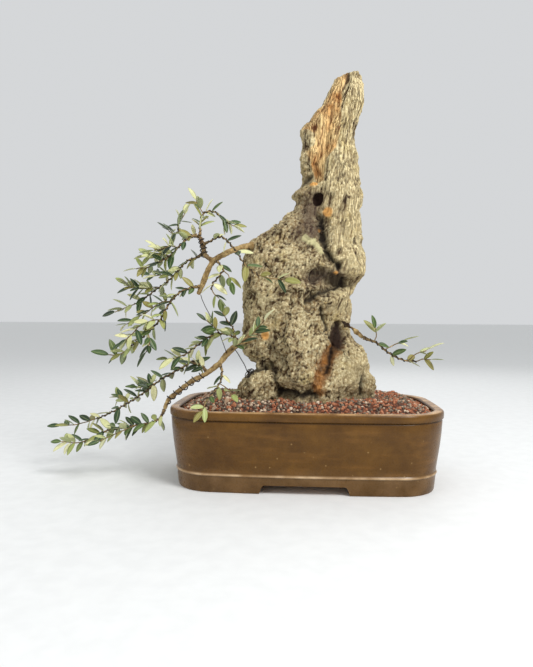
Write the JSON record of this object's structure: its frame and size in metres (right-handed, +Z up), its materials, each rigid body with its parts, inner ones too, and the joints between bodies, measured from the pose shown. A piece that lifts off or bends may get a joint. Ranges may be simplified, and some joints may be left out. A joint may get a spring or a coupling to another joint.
{
  "type": "olive bonsai in a pot",
  "caption": "Old olive bonsai with a hollowed deadwood trunk and wired leafy branches, growing in gritty soil in a low rectangular glazed pot on corner feet.",
  "frame": {"origin": "on the surface that the pot stands on, at the middle of the whole tree's box seen from above", "axes": "+Z up, the pot's long front side faces -Y, the foliage reaches out towards -X"},
  "size_m": [0.6506, 0.2858, 0.668],
  "materials": {
    "glazed_pot": "satin brown glaze, worn pale at the edges",
    "soil_grains": "loose red, pale and grey volcanic grit",
    "bark": "rough pitted bark with amber deadwood",
    "leaf": "leathery leaf, dark above and pale grey-green below",
    "wire": "dark anodised",
    "screen": "moulded mesh"
  },
  "bodies": {
    "root": {"drain_screen_left": "screen", "drain_screen_right": "screen", "guy_wire": "wire", "pot": "glazed_pot", "shoot_straight": "leaf", "soil": "soil_grains", "spray_by_trunk": "leaf", "spray_crown": "leaf", "spray_crown_back": "leaf", "spray_hanging": "leaf", "spray_low_back": "leaf", "spray_low_end": "leaf", "spray_low_front": "leaf", "spray_low_top": "leaf", "spray_middle": "leaf", "spray_right": "leaf", "spray_upper_front": "leaf", "spray_upper_left": "leaf", "spray_upper_side": "leaf", "trunk": "bark", "wire_lower": "wire", "wire_upper": "wire"}
  },
  "joints": []
}
